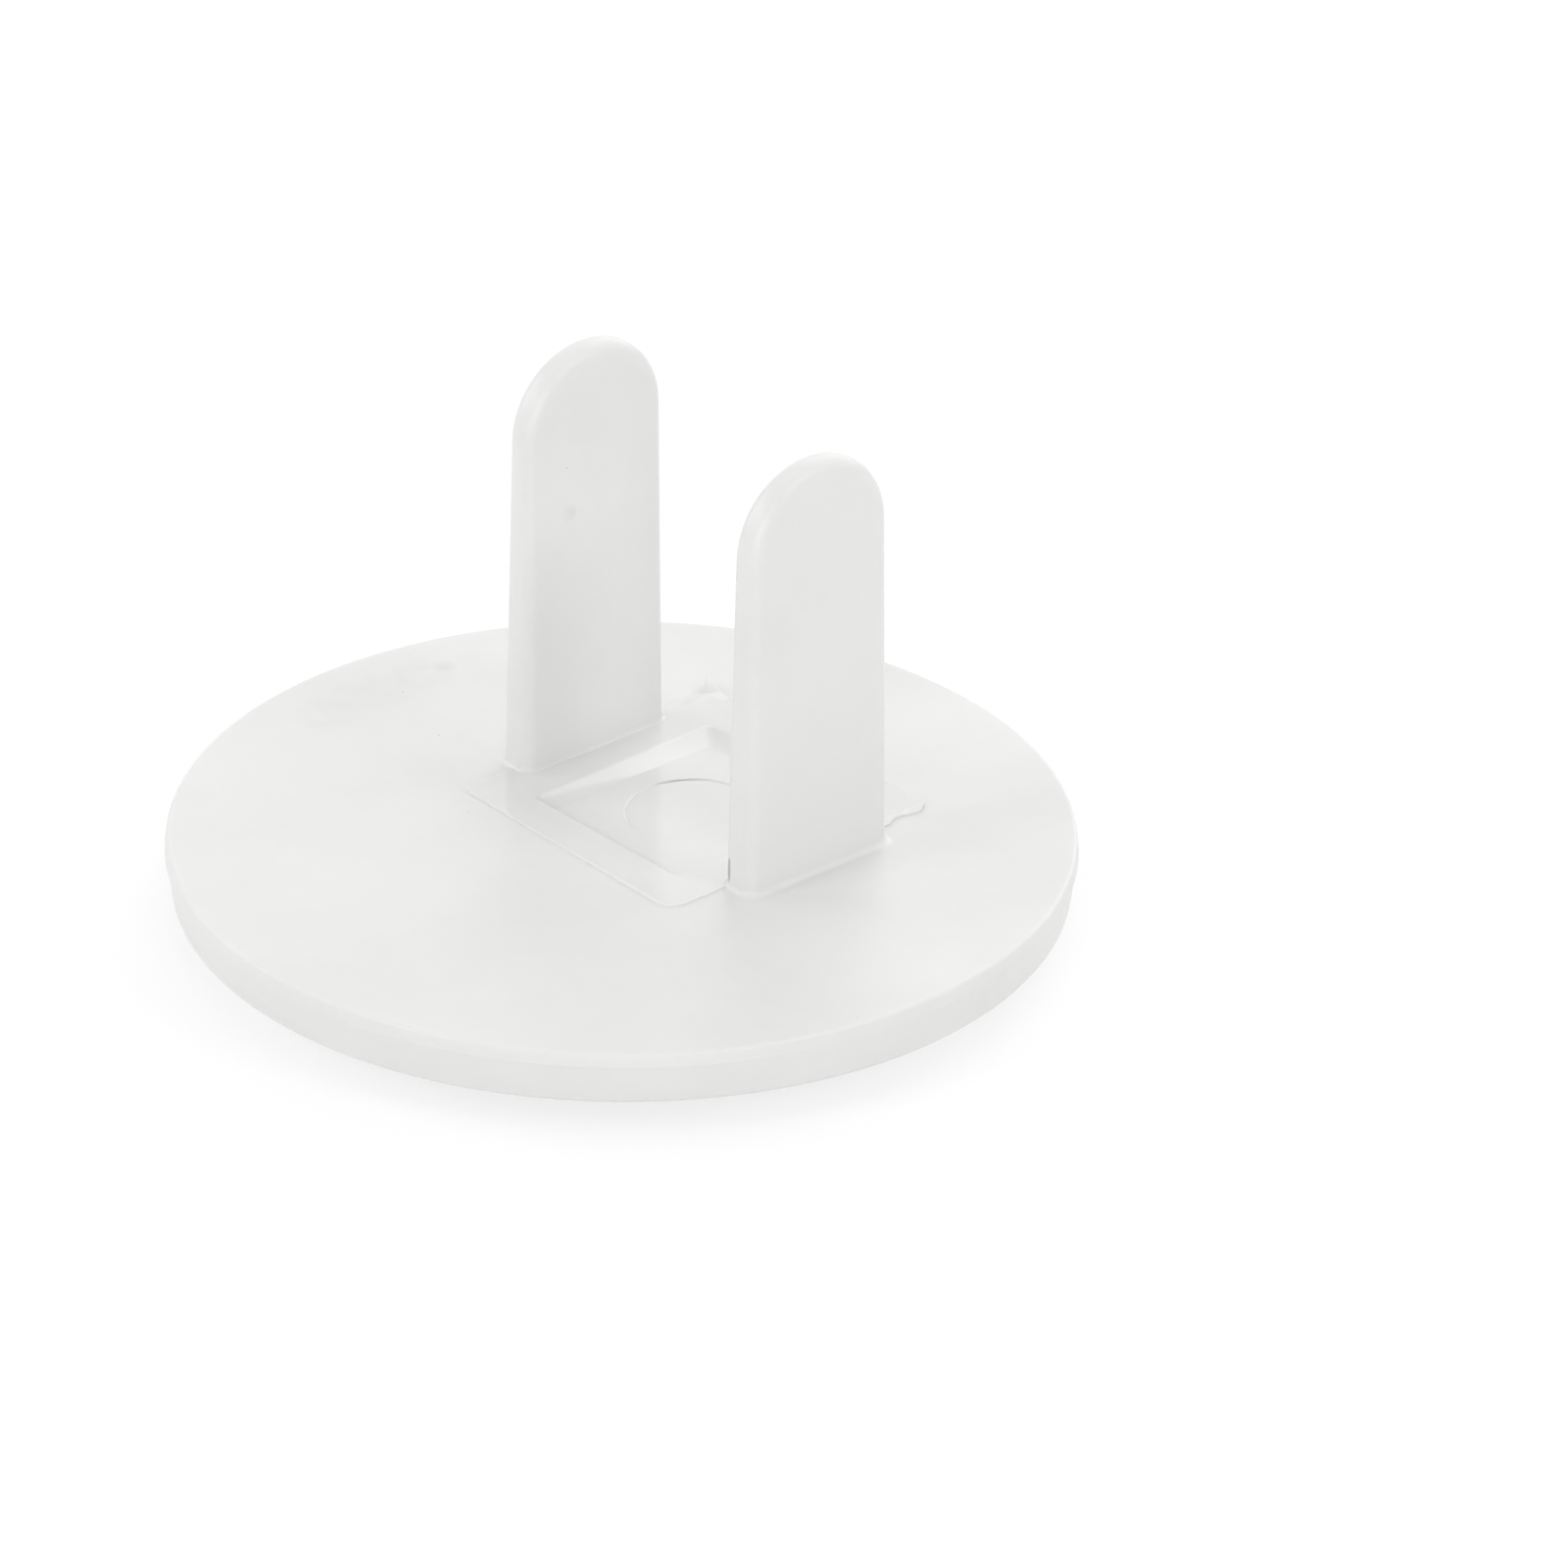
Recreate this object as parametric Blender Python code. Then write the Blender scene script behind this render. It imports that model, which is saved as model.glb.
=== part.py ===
"""A one-piece moulded safety cover for a two-slot mains outlet.

The cover stands as it rests: the low-domed front of its disc is down and its two blades point up.
The origin is the middle of the small flat on the front. +X runs across the two blades, and +Y runs
along their width, towards the side of the disc that they are set off to.
Lengths are in metres and angles in radians.
"""

import math

import bmesh
import bpy
from mathutils import Matrix, Vector

# Disc: its back lies on the outlet, its front faces the room
DISC_DIAMETER = 0.0320
RIM_HEIGHT = 0.0020
PARTING_DEPTH = 0.0005
PARTING_STEP = 0.00004
RIM_DRAFT = math.radians(8.0)
BACK_EDGE_ROUND = 0.00012
FRONT_EDGE_ROUND = 0.00025
FRONT_DOME = 0.0012
FRONT_FLAT_DIAMETER = 0.0130

# Blades: two flat prongs that stand on the back
BLADE_SPACING = 0.01185
BLADE_OFFSET = 0.00335
BLADE_LENGTH = 0.0158
BLADE_FOOT_WIDTH = 0.00655
BLADE_TIP_WIDTH = 0.0063
BLADE_FOOT_THICKNESS = 0.0015
BLADE_TIP_THICKNESS = 0.0011
BLADE_EDGE_ROUND = 0.0005
BLADE_FILLET = 0.00025

# Mould insert's outline: a low square step that the blades stand across
INSERT_SIZE_X = 0.0113
INSERT_SIZE_Y = 0.0117
INSERT_SHIFT_X = -0.0003
INSERT_SHIFT_Y = 0.0002
INSERT_STEP = 0.00006
INSERT_CORNER = 0.0005
INSERT_SKEW_X = 0.00015
INSERT_SKEW_Y = 0.00032

# Shallow pan between the blades, with the round mark of an ejector pin in its floor
PAN_SIZE_X = 0.0076
PAN_SIZE_Y = 0.0083
PAN_DEPTH = 0.00025
PAN_WALL_RUN = 0.00055
PAN_CORNER = 0.0004
PIN_MARK_DIAMETER = 0.0049
PIN_MARK_DEPTH = 0.00006
PIN_MARK_SHIFT_X = 0.0002
PIN_MARK_SHIFT_Y = -0.0002

# Fineness of the round forms
DISC_SEGMENTS = 128
PIN_MARK_SEGMENTS = 40
DOME_STEPS = 6
ROUND_STEPS = 3
BLADE_ROUND_STEPS = 4
BLADE_FILLET_STEPS = 3
TIP_STEPS = 9

# How far a joined shape is sunk into the disc, and how far a cutter stands out of it
OVERLAP = 0.0004

# The most of half a blade's thickness that the round of its edge may take
EDGE_ROUND_LIMIT = 0.95

# Places that follow from the sizes above
BACK_Z = RIM_HEIGHT + FRONT_DOME
DISC_RADIUS = DISC_DIAMETER / 2
TIP_RADIUS = BLADE_TIP_WIDTH / 2
SHANK_LENGTH = BLADE_LENGTH - TIP_RADIUS
PAN_FLOOR_Z = BACK_Z - PAN_DEPTH

# Vertices nearer than this are one vertex
MERGE_DISTANCE = 1e-7

# Natural polythene, milky white with a soft gloss
PLASTIC_COLOUR = (0.83, 0.83, 0.82, 1.0)
PLASTIC_ROUGHNESS = 0.42
SMOOTH_ANGLE = math.radians(28.0)


def clear_scene():
    for thing in list(bpy.data.objects):
        bpy.data.objects.remove(thing)


def make_plastic():
    plastic = bpy.data.materials.new("moulded_polythene")
    plastic.use_nodes = True
    shader = plastic.node_tree.nodes["Principled BSDF"]
    shader.inputs["Base Color"].default_value = PLASTIC_COLOUR
    shader.inputs["Roughness"].default_value = PLASTIC_ROUGHNESS
    shader.inputs["Metallic"].default_value = 0.0
    return plastic


def object_from(shape, name):
    """Closes a finished bmesh's seams and turns it into an object in the scene."""
    bmesh.ops.remove_doubles(shape, verts=shape.verts, dist=MERGE_DISTANCE)
    bmesh.ops.recalc_face_normals(shape, faces=shape.faces)
    mesh = bpy.data.meshes.new(name)
    shape.to_mesh(mesh)
    shape.free()
    thing = bpy.data.objects.new(name, mesh)
    bpy.context.collection.objects.link(thing)
    return thing


def round_corners(corners, steps):
    """Points of an open outline of (across, up, radius) corners, each one turned to a tangent arc."""
    points = []
    last = len(corners) - 1
    for index, (across, up, radius) in enumerate(corners):
        corner = Vector((across, up))
        if radius == 0.0 or index in (0, last):
            points.append(corner)
            continue
        before = (Vector(corners[index - 1][:2]) - corner).normalized()
        after = (Vector(corners[index + 1][:2]) - corner).normalized()
        half_angle = before.angle(after) / 2
        middle = corner + (before + after).normalized() * radius / math.sin(half_angle)
        start = corner + before * radius / math.tan(half_angle) - middle
        finish = corner + after * radius / math.tan(half_angle) - middle
        turn = start.angle_signed(finish)
        for step in range(steps + 1):
            points.append(middle + Matrix.Rotation(-turn * step / steps, 2) @ start)
    return points


def disc_profile():
    """Half the disc's section, from the back over the rim to the flat of the front."""
    parting_z = BACK_Z - PARTING_DEPTH
    back_radius = DISC_RADIUS - PARTING_DEPTH * math.tan(RIM_DRAFT)
    below_parting = DISC_RADIUS - PARTING_STEP
    front_radius = below_parting - (RIM_HEIGHT - PARTING_DEPTH) * math.tan(RIM_DRAFT)
    flat_radius = FRONT_FLAT_DIAMETER / 2
    reach = front_radius - flat_radius
    dome_radius = (reach**2 + FRONT_DOME**2) / (2 * FRONT_DOME)
    corners = [
        (flat_radius, BACK_Z, 0.0),
        (back_radius, BACK_Z, BACK_EDGE_ROUND),
        (DISC_RADIUS, parting_z, 0.0),
        (below_parting, parting_z, 0.0),
        (front_radius, FRONT_DOME, FRONT_EDGE_ROUND),
    ]
    for step in range(1, DOME_STEPS + 1):
        across = reach * (1 - step / DOME_STEPS)
        height = dome_radius - math.sqrt(dome_radius**2 - across**2)
        corners.append((flat_radius + across, height, 0.0))
    return round_corners(corners, ROUND_STEPS)


def make_disc():
    """The disc is its profile spun about Z, with one flat face on the back and one on the front."""
    shape = bmesh.new()
    points = [shape.verts.new((point.x, 0.0, point.y)) for point in disc_profile()]
    edges = [shape.edges.new(pair) for pair in zip(points, points[1:])]
    bmesh.ops.spin(
        shape,
        geom=points + edges,
        cent=(0.0, 0.0, 0.0),
        axis=(0.0, 0.0, 1.0),
        angle=math.tau,
        steps=DISC_SEGMENTS,
        use_merge=True,
    )
    bmesh.ops.holes_fill(shape, edges=shape.edges, sides=DISC_SEGMENTS)
    flat_tops = [face for face in shape.faces if len(face.verts) > 4 and face.calc_center_median().z > FRONT_DOME]
    around = [face for top in flat_tops for edge in top.edges for face in edge.link_faces]
    bmesh.ops.dissolve_faces(shape, faces=list(set(around)))
    return object_from(shape, "outlet_cover")


def loft(name, rings):
    """A closed body through rings of points, with a cap on the first and on the last ring."""
    shape = bmesh.new()
    loops = [[shape.verts.new(point) for point in ring] for ring in rings]
    for lower, upper in zip(loops, loops[1:]):
        for index in range(len(lower)):
            following = (index + 1) % len(lower)
            shape.faces.new((lower[index], lower[following], upper[following], upper[index]))
    shape.faces.new(loops[0])
    shape.faces.new(loops[-1])
    return object_from(shape, name)


def rectangle_ring(centre, size_x, size_y, corner, height):
    """A ring at one height: a rectangle with round corners."""
    ring = []
    for quarter in range(4):
        sign_x = 1 if quarter in (0, 3) else -1
        sign_y = 1 if quarter in (0, 1) else -1
        for step in range(ROUND_STEPS + 1):
            angle = (quarter + step / ROUND_STEPS) * math.pi / 2
            across = sign_x * (size_x / 2 - corner) + corner * math.cos(angle)
            along = sign_y * (size_y / 2 - corner) + corner * math.sin(angle)
            ring.append((centre.x + across, centre.y + along, height))
    return ring


def pair_centre(shift_x=0.0, shift_y=0.0):
    """The middle between the two blades, which the insert and the pan take their places from."""
    return Vector((shift_x, BLADE_OFFSET + shift_y))


def skewed(ring, centre):
    """A ring with its corner towards +X and -Y moved outwards, a little out of square."""
    points = []
    for across, along, height in ring:
        if across > centre.x and along < centre.y:
            across += INSERT_SKEW_X
            along -= INSERT_SKEW_Y
        points.append((across, along, height))
    return points


def make_insert():
    centre = pair_centre(INSERT_SHIFT_X, INSERT_SHIFT_Y)
    heights = (BACK_Z - OVERLAP, BACK_Z + INSERT_STEP)
    rings = [rectangle_ring(centre, INSERT_SIZE_X, INSERT_SIZE_Y, INSERT_CORNER, z) for z in heights]
    return loft("insert_step", [skewed(ring, centre) for ring in rings])


def make_pan():
    """Cutter of the pan. Its walls slope on at the same rate above the back, so the mouth has its full size."""
    rings = []
    for rise in (0.0, PAN_DEPTH, PAN_DEPTH + OVERLAP):
        inset = PAN_WALL_RUN * (1 - rise / PAN_DEPTH)
        corner = max(PAN_CORNER - inset, PAN_CORNER / 2)
        size_x = PAN_SIZE_X - 2 * inset
        size_y = PAN_SIZE_Y - 2 * inset
        rings.append(rectangle_ring(pair_centre(), size_x, size_y, corner, PAN_FLOOR_Z + rise))
    return loft("pan_cutter", rings)


def make_pin_mark():
    """Cutter of the round mark that an ejector pin leaves in the pan's floor."""
    depth = PIN_MARK_DEPTH + PAN_DEPTH / 2
    middle = pair_centre(PIN_MARK_SHIFT_X, PIN_MARK_SHIFT_Y).to_3d()
    middle.z = PAN_FLOOR_Z - PIN_MARK_DEPTH + depth / 2
    shape = bmesh.new()
    bmesh.ops.create_cone(
        shape,
        cap_ends=True,
        segments=PIN_MARK_SEGMENTS,
        radius1=PIN_MARK_DIAMETER / 2,
        radius2=PIN_MARK_DIAMETER / 2,
        depth=depth,
        matrix=Matrix.Translation(middle),
    )
    return object_from(shape, "pin_mark_cutter")


def blade_half_sizes(height):
    """Half the width and half the thickness of a blade at a height above the back, without the fillet."""
    up_shank = min(max(height / SHANK_LENGTH, 0.0), 1.0)
    up_blade = min(max(height / BLADE_LENGTH, 0.0), 1.0)
    width = BLADE_FOOT_WIDTH + (BLADE_TIP_WIDTH - BLADE_FOOT_WIDTH) * up_shank
    thickness = BLADE_FOOT_THICKNESS + (BLADE_TIP_THICKNESS - BLADE_FOOT_THICKNESS) * up_blade
    return width / 2, thickness / 2


def blade_corner(height, flare):
    """One corner of a blade's level section, as (across, along) points from the narrow edge to the face.

    Above the shank the edge follows a half circle, and the round of the edge runs on over the tip.
    """
    half_width, half_thickness = blade_half_sizes(height)
    edge_round = min(BLADE_EDGE_ROUND, half_thickness * EDGE_ROUND_LIMIT)
    up_tip = max(height - SHANK_LENGTH, 0.0)
    deepest_inset = max(min(edge_round, half_width - up_tip), 0.0)
    last_angle = math.acos(1 - deepest_inset / edge_round)
    points = []
    for step in range(BLADE_ROUND_STEPS + 1):
        angle = last_angle * step / BLADE_ROUND_STEPS
        inset = edge_round * (1 - math.cos(angle))
        along = math.sqrt(max((half_width - inset)**2 - up_tip**2, 0.0)) + flare * math.cos(angle)
        across = half_thickness - edge_round + (edge_round + flare) * math.sin(angle)
        points.append((across, along))
    return points


def blade_ring(centre_x, height, flare):
    """A blade's whole level section: its corner mirrored to all four sides."""
    to_face = blade_corner(height, flare)
    to_edge = list(reversed(to_face))
    outline = [(across, along) for across, along in to_edge]
    outline += [(-across, along) for across, along in to_face]
    outline += [(-across, -along) for across, along in to_edge]
    outline += [(across, -along) for across, along in to_face]
    return [(centre_x + across, BLADE_OFFSET + along, BACK_Z + height) for across, along in outline]


def blade_levels():
    """Heights above the back and the fillet's flare there: sunk foot, fillet, shank and full-round tip."""
    levels = [(-OVERLAP, BLADE_FILLET)]
    for step in range(BLADE_FILLET_STEPS + 1):
        angle = math.pi / 2 * step / BLADE_FILLET_STEPS
        levels.append((BLADE_FILLET * (1 - math.cos(angle)), BLADE_FILLET * (1 - math.sin(angle))))
    for step in range(TIP_STEPS + 1):
        angle = math.pi / 2 * step / TIP_STEPS
        levels.append((SHANK_LENGTH + TIP_RADIUS * math.sin(angle), 0.0))
    return levels


def make_blade(name, side):
    centre_x = side * BLADE_SPACING / 2
    return loft(name, [blade_ring(centre_x, height, flare) for height, flare in blade_levels()])


def combine(body, guide, operation):
    """Joins a guide shape to the body or cuts it away. A guide is drawn as a wire and never rendered."""
    guide.hide_render = True
    guide.display_type = "WIRE"
    step = body.modifiers.new(guide.name, "BOOLEAN")
    step.object = guide
    step.operation = operation
    step.solver = "EXACT"


def main():
    clear_scene()
    cover = make_disc()
    cover.data.materials.append(make_plastic())
    combine(cover, make_insert(), "UNION")
    combine(cover, make_pan(), "DIFFERENCE")
    combine(cover, make_pin_mark(), "DIFFERENCE")
    combine(cover, make_blade("left_blade", -1), "UNION")
    combine(cover, make_blade("right_blade", 1), "UNION")
    cover.data.shade_smooth()
    cover.data.set_sharp_from_angle(angle=SMOOTH_ANGLE)


main()
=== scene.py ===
"""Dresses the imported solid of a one-piece outlet safety cover and sets the small studio that it stands in.

The moulding replaces the solid's one node with the same form in smooth, fine faces. Two thin, torn flakes
of flash, which a worn mould leaves at its insert's far corners, are joined to it.
The blades point up, +X runs across them and +Y along their width. Lengths are in metres.
"""

import math

import bmesh
import bpy
from mathutils import Matrix, Vector, noise


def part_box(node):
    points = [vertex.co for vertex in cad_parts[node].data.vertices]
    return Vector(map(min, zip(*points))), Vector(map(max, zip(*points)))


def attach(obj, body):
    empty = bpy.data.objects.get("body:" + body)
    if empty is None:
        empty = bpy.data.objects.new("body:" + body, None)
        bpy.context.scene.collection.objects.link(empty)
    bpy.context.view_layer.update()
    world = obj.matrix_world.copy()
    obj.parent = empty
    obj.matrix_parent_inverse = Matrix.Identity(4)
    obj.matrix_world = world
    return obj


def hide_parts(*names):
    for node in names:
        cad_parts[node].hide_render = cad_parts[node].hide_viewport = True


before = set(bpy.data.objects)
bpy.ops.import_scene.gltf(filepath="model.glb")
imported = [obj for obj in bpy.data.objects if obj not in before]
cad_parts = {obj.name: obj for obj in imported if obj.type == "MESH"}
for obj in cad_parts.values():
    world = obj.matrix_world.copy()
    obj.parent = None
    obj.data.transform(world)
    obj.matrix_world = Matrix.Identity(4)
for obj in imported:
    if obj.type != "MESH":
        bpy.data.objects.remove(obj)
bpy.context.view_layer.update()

bl_info = {
    "name": "Outlet Safety Cover",
    "version": (1, 0, 0),
    "blender": (4, 5, 0),
    "location": "3D View > Sidebar > Outlet Cover",
    "description": "Makes a moulded outlet safety cover and a small white studio",
    "category": "Object",
}

SOLID = "outlet_cover"
PLASTIC = "natural_polythene"
SOLID_LOW, SOLID_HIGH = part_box(SOLID)
MM = 0.001

# How finely the round forms are divided
DISC_SEGMENTS = 256
DOME_STEPS = 24
CORNER_STEPS = 6
EDGE_STEPS = 8
TIP_SEGMENTS = 128
PIN_SEGMENTS = 96
CREVICE_SEGMENTS = 8
WALL_STEPS = 8

# The insert's mark: how far its middle lies off the blades' middle, how far its sides lean in as a share
# of its height, and how much blunter its front corner is than the others
INSERT_SHIFT = Vector((-0.3 * MM, 0.2 * MM, 0.0))
STEP_DRAFT = 0.3
FRONT_CORNER_WEAR = 1.8

# The pan: how steep its walls start at the floor, as a share of their mean slope, the radius of the floor's
# corners, and how far the floor lies off the middle of the lip, so that its near walls are the steep ones
WALL_EASE = 0.5
PAN_FLOOR_CORNER = 0.3 * MM
PAN_SHIFT = Vector((0.2, -0.2, 0.0)) * MM

# How far a joined shape is sunk into the disc, and how far a cutter stands out of it
OVERLAP = 0.4 * MM
MERGE_DISTANCE = 1e-7

# The pin's mark lies a little deeper on its far side, and a crevice runs along a short stretch of its edge
PIN_HINGE = Vector((0.668, 0.744, 0.0))
PIN_LEAN = math.radians(0.5)
CREVICE_WAY = Vector((-0.866, 0.5, 0.0))
CREVICE_LEAN = math.radians(18.0)

# A tear in the long edge of the right blade: its place, from the disc's middle at the level of the back,
# its half axes and how far it is turned about Z
TEAR_PLACE = Vector((5.572, 0.086, 0.7)) * MM
TEAR_REACH = Vector((0.045, 0.26, 0.46)) * MM
TEAR_TURN = math.radians(48.0)

# The polish of the insert's mark: its middle, how far it reaches from there along X, Y and Z, half the width
# of its border, and how much smoother than the rest of the skin it is
POLISH_MIDDLE = (-0.3 * MM, 3.5 * MM, 3.0 * MM)
POLISH_REACH = (5.65 * MM, 5.9 * MM, 0.36 * MM)
POLISH_BORDER = 0.1 * MM
POLISH_GAIN = 0.22
SKIN_ROUGHNESS = (0.32, 0.38)

# Real sizes of the plastic's patterns: flow clouds, mottle, dark specks (one in each cell) and the waves and
# grain of the skin
CLOUD_SIZE = 5.0 * MM
MOTTLE_SIZE = 0.6 * MM
SPECK_CELL = 1.8 * MM
SPECK_CORE = 0.02 * MM
SPECK_RADIUS = 0.045 * MM
SPECK_SHARE = 0.55
WAVE_SIZE = 3.0 * MM
WAVE_HEIGHT = 0.012 * MM
GRAIN_SIZE = 0.12 * MM
GRAIN_HEIGHT = 0.0012 * MM

# The paper's fibres, and the share and strength of the plain white that the camera sees in the floor
FIBRE_SIZE = 2.0 * MM
PAPER_GLOW_SHARE = 0.7
PAPER_GLOW = 1.06

# Faint darker patches and spots near the disc's left edge, and a small spot on the left blade: middle and
# reach in mm, and how much of the specks' colour they take on
DARK_PATCHES = (
    ((-13.4, -2.3, 3.2), 1.5, 0.03),
    ((-13.5, -0.1, 3.2), 1.7, 0.03),
    ((-13.4, 2.1, 3.2), 1.5, 0.03),
    ((-13.4, 3.26, 3.2), 0.5, 0.06),
    ((-5.25, 2.08, 12.92), 0.4, 0.08),
)

# Flakes of flash: how thick they are, how rough, over what length, and how finely they are divided
FLASH_THICKNESS = 0.12 * MM
FLASH_ROUGHNESS = 0.03 * MM
FLAKE_GRAIN = 0.25 * MM
FLAKE_CUTS = 3

# Torn outlines of the two flakes at the insert's far corners: x, y and rise above the mark, in mm
RIGHT_FLAKE = (
    (3.25, 9.17, 0.012),
    (3.72, 9.44, 0.012),
    (4.06, 9.51, 0.03),
    (4.38, 9.46, 0.04),
    (4.69, 9.41, 0.03),
    (5.01, 9.35, 0.04),
    (5.33, 9.43, 0.07),
    (5.60, 9.16, 0.08),
    (5.74, 8.93, 0.06),
    (5.75, 8.75, 0.03),
    (5.65, 8.45, 0.015),
    (5.57, 8.15, 0.03),
    (5.58, 7.91, 0.02),
    (5.62, 7.69, 0.015),
    (5.78, 7.43, 0.012),
    (5.74, 6.94, 0.012),
)
REAR_FLAKE = (
    (-4.94, 9.29, 0.02),
    (-5.32, 9.34, 0.05),
    (-5.55, 9.36, 0.13),
    (-5.70, 9.35, 0.2),
    (-5.98, 9.43, 0.3),
    (-6.25, 9.4, 0.42),
    (-6.08, 9.22, 0.32),
    (-5.93, 9.05, 0.23),
    (-5.96, 8.79, 0.15),
    (-5.92, 8.48, 0.06),
    (-5.87, 8.06, 0.03),
    (-5.73, 7.47, -0.03),
    (-5.37, 7.68, -0.035),
    (-5.18, 8.25, -0.035),
    (-4.97, 8.71, -0.03),
    (-4.68, 9.06, -0.03),
)

# Edges with a greater turn than this stay sharp where the faces are shaded smooth
SHARP_ANGLE = math.radians(30.0)

# A colour Mix node's two colours and its result, whose names it shares with its other kinds of value
MIX_FIRST = 6
MIX_SECOND = 7
MIX_RESULT = 2

# Soft boxes: name, azimuth and elevation in degrees, distance, width and height in metres, and watts
LIGHTS = (
    ("top_box", 48.0, 88.0, 0.5, 0.4, 0.4, 0.41),
    ("right_box", 107.0, 35.0, 0.5, 0.12, 0.12, 0.26),
    ("far_right_box", 130.0, 35.0, 0.5, 0.5, 0.5, 0.27),
    ("left_box", -16.0, 35.0, 0.5, 0.12, 0.12, 0.31),
    ("side_box", -60.0, 25.0, 0.5, 0.3, 0.3, 0.63),
    ("front_box", 48.0, 12.0, 0.5, 0.42, 0.28, 0.93),
    ("rear_box", 190.0, 35.0, 0.5, 0.5, 0.5, 0.9),
    ("back_wall", 228.0, 28.0, 0.5, 0.6, 0.6, 0.51),
)


def length(name, description, default):
    """A property that holds a length."""
    return bpy.props.FloatProperty(
        name=name, description=description, default=default, min=0.0, precision=5, unit="LENGTH"
    )


def angle(name, description, degrees):
    """A property that holds an angle, given here in degrees."""
    return bpy.props.FloatProperty(
        name=name, description=description, default=math.radians(degrees), subtype="ANGLE"
    )


def linear(code):
    """Turns an sRGB hex colour such as E6E6E4 into linear red, green, blue and alpha."""
    channels = [int(code[start : start + 2], 16) / 255 for start in (0, 2, 4)]
    bright = [c / 12.92 if c <= 0.04045 else ((c + 0.055) / 1.055) ** 2.4 for c in channels]
    return (*bright, 1.0)


def colour(name, description, code):
    """A property that holds a colour, given here as sRGB hex."""
    return bpy.props.FloatVectorProperty(
        name=name, description=description, default=linear(code), size=4, min=0.0, max=1.0, subtype="COLOR"
    )


class CoverSizes(bpy.types.PropertyGroup):
    """Sizes of the moulding."""

    disc_diameter: length(
        "Disc diameter", "Across the disc at its parting line", SOLID_HIGH.x - SOLID_LOW.x
    )
    rim_height: length("Rim height", "From the back down to the domed front", 2.0 * MM)
    front_dome: length("Front dome", "How far the front bulges below the rim", 1.2 * MM)
    front_flat: length("Front flat", "Across the small flat in the middle of the front", 13.0 * MM)
    parting_depth: length("Parting depth", "From the back down to the parting line", 0.5 * MM)
    parting_step: length("Parting step", "How far the rim steps in below the parting line", 0.04 * MM)
    rim_draft: angle("Rim draft", "How far the rim leans in, away from the parting line", 8.0)
    back_edge_round: length("Back edge round", "Radius of the edge between the back and the rim", 0.12 * MM)
    front_edge_round: length(
        "Front edge round", "Radius of the edge between the rim and the front", 0.25 * MM
    )

    blade_spacing: length(
        "Blade spacing", "From the middle of one blade to the middle of the other", 11.85 * MM
    )
    blade_offset: length(
        "Blade offset", "From the disc's middle line to the middle of the blades", 3.35 * MM
    )
    blade_length: length("Blade length", "From the back to the tips", 15.8 * MM)
    blade_foot_width: length("Blade foot width", "Along Y at the back", 6.55 * MM)
    blade_tip_width: length("Blade tip width", "Along Y where the round tip starts", 6.3 * MM)
    blade_foot_thickness: length("Blade foot thickness", "Along X at the back", 1.5 * MM)
    blade_tip_thickness: length("Blade tip thickness", "Along X at the tip", 1.1 * MM)
    blade_edge_round: length("Blade edge round", "Radius of a blade's long edges", 0.5 * MM)
    blade_fillet: length("Blade fillet", "Radius between a blade and the disc", 0.25 * MM)

    insert_size_x: length("Insert size X", "Across the mould insert's mark", 11.3 * MM)
    insert_size_y: length("Insert size Y", "Along the mould insert's mark", 11.7 * MM)
    insert_step: length("Insert step", "How far the insert's mark stands above the back", 0.06 * MM)
    insert_corner: length("Insert corner", "Radius of the corners of the insert's mark", 0.45 * MM)
    insert_skew_x: length(
        "Insert skew X", "How far the mark's front corner is moved out along X", 0.15 * MM
    )
    insert_skew_y: length(
        "Insert skew Y", "How far the mark's front corner is moved out along -Y", 0.32 * MM
    )
    pan_size_x: length("Pan size X", "Across the shallow pan between the blades", 7.6 * MM)
    pan_size_y: length("Pan size Y", "Along the shallow pan between the blades", 8.3 * MM)
    pan_depth: length("Pan depth", "From the back down to the pan's floor", 0.25 * MM)
    pan_wall_run: length("Pan wall run", "How far the pan's sloped walls reach inwards", 0.55 * MM)
    pin_mark_diameter: length("Pin mark diameter", "Across the ejector pin's round mark", 4.9 * MM)
    pin_mark_depth: length("Pin mark depth", "How far the pin's mark is sunk into the pan", 0.06 * MM)
    pin_mark_shift: length(
        "Pin mark shift", "How far the mark lies off the pan's middle, in X and -Y", 0.2 * MM
    )
    crevice: length("Crevice", "Across the fine crevice on the far side of the pin's mark", 0.12 * MM)


class CoverLooks(bpy.types.PropertyGroup):
    """Colours of the plastic."""

    plastic: colour("Plastic", "Natural polythene, milky white", "E7E7E6")
    cloud: colour("Cloud", "The slightly greyer clouds that the flow of the melt leaves", "E4E4E3")
    speck: colour("Speck", "Dust and scorched grains in the plastic", "8E8C88")


class StudioSettings(bpy.types.PropertyGroup):
    """Camera and light."""

    azimuth: angle("Azimuth", "Where the camera stands round the cover, from -Y towards +X", 48.081)
    elevation: angle("Elevation", "How far the camera looks down", 28.256)
    roll: angle("Roll", "How far the camera is turned about its own line of sight", 0.781)
    distance: length("Distance", "From the camera to the middle of the disc's back", 450.0 * MM)
    focal_length: bpy.props.FloatProperty(
        name="Focal length",
        description="Of the lens, on a sensor 36 mm wide",
        default=295.24,
        unit="CAMERA",
    )
    aim_right: length(
        "Aim right", "How far right of the disc's middle the picture's centre lies", 5.669 * MM
    )
    aim_up: length("Aim up", "How far above the disc's middle the picture's centre lies", 1.626 * MM)
    floor_size: length("Floor size", "Across the pale floor", 3.0)
    paper: colour("Paper", "The white floor", "FCFCFC")
    fibre: colour("Fibre", "The slightly darker fibres in the floor's paper", "F9F9F9")
    room_strength: bpy.props.FloatProperty(
        name="Room strength",
        description="How strongly the white room lights the cover",
        default=0.3,
        min=0.0,
    )


# Plain places that follow from the sizes


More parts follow.
